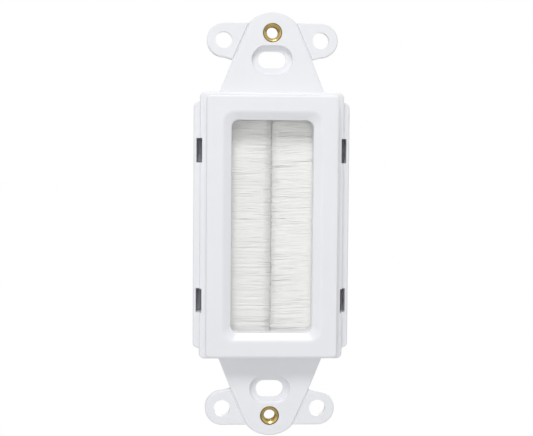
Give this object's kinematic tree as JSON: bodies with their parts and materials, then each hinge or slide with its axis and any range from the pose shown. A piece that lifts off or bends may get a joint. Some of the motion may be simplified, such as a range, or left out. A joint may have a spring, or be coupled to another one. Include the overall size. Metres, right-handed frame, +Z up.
{
  "type": "brush wall plate",
  "caption": "Wall plate insert with a raised, rounded window closed by facing strips of soft bristles, on a screw strap with break-off ears and brass inserts.",
  "frame": {"origin": "midway between the two wall-box screw slots, and between the two brass inserts, on the wall surface that the strap's back lies on", "axes": "+X to the right as seen from the room, +Z up along the strap, -Y out of the wall towards the room"},
  "size_m": [0.0392, 0.0152, 0.107],
  "materials": {
    "white_abs": "smooth moulded gloss",
    "nylon_bristle": "fine drawn filaments",
    "turned_brass": "turned, bright",
    "zinc_plated_steel": "zinc plated"
  },
  "bodies": {
    "root": {"front_frame": "white_abs", "rear_frame": "white_abs", "brush_channel_left": "zinc_plated_steel", "brush_channel_right": "zinc_plated_steel", "brush_core_wire_left": "zinc_plated_steel", "brush_core_wire_right": "zinc_plated_steel", "bristles_left": "nylon_bristle", "bristles_right": "nylon_bristle", "brass_insert_top": "turned_brass", "brass_insert_bottom": "turned_brass"}
  },
  "joints": []
}
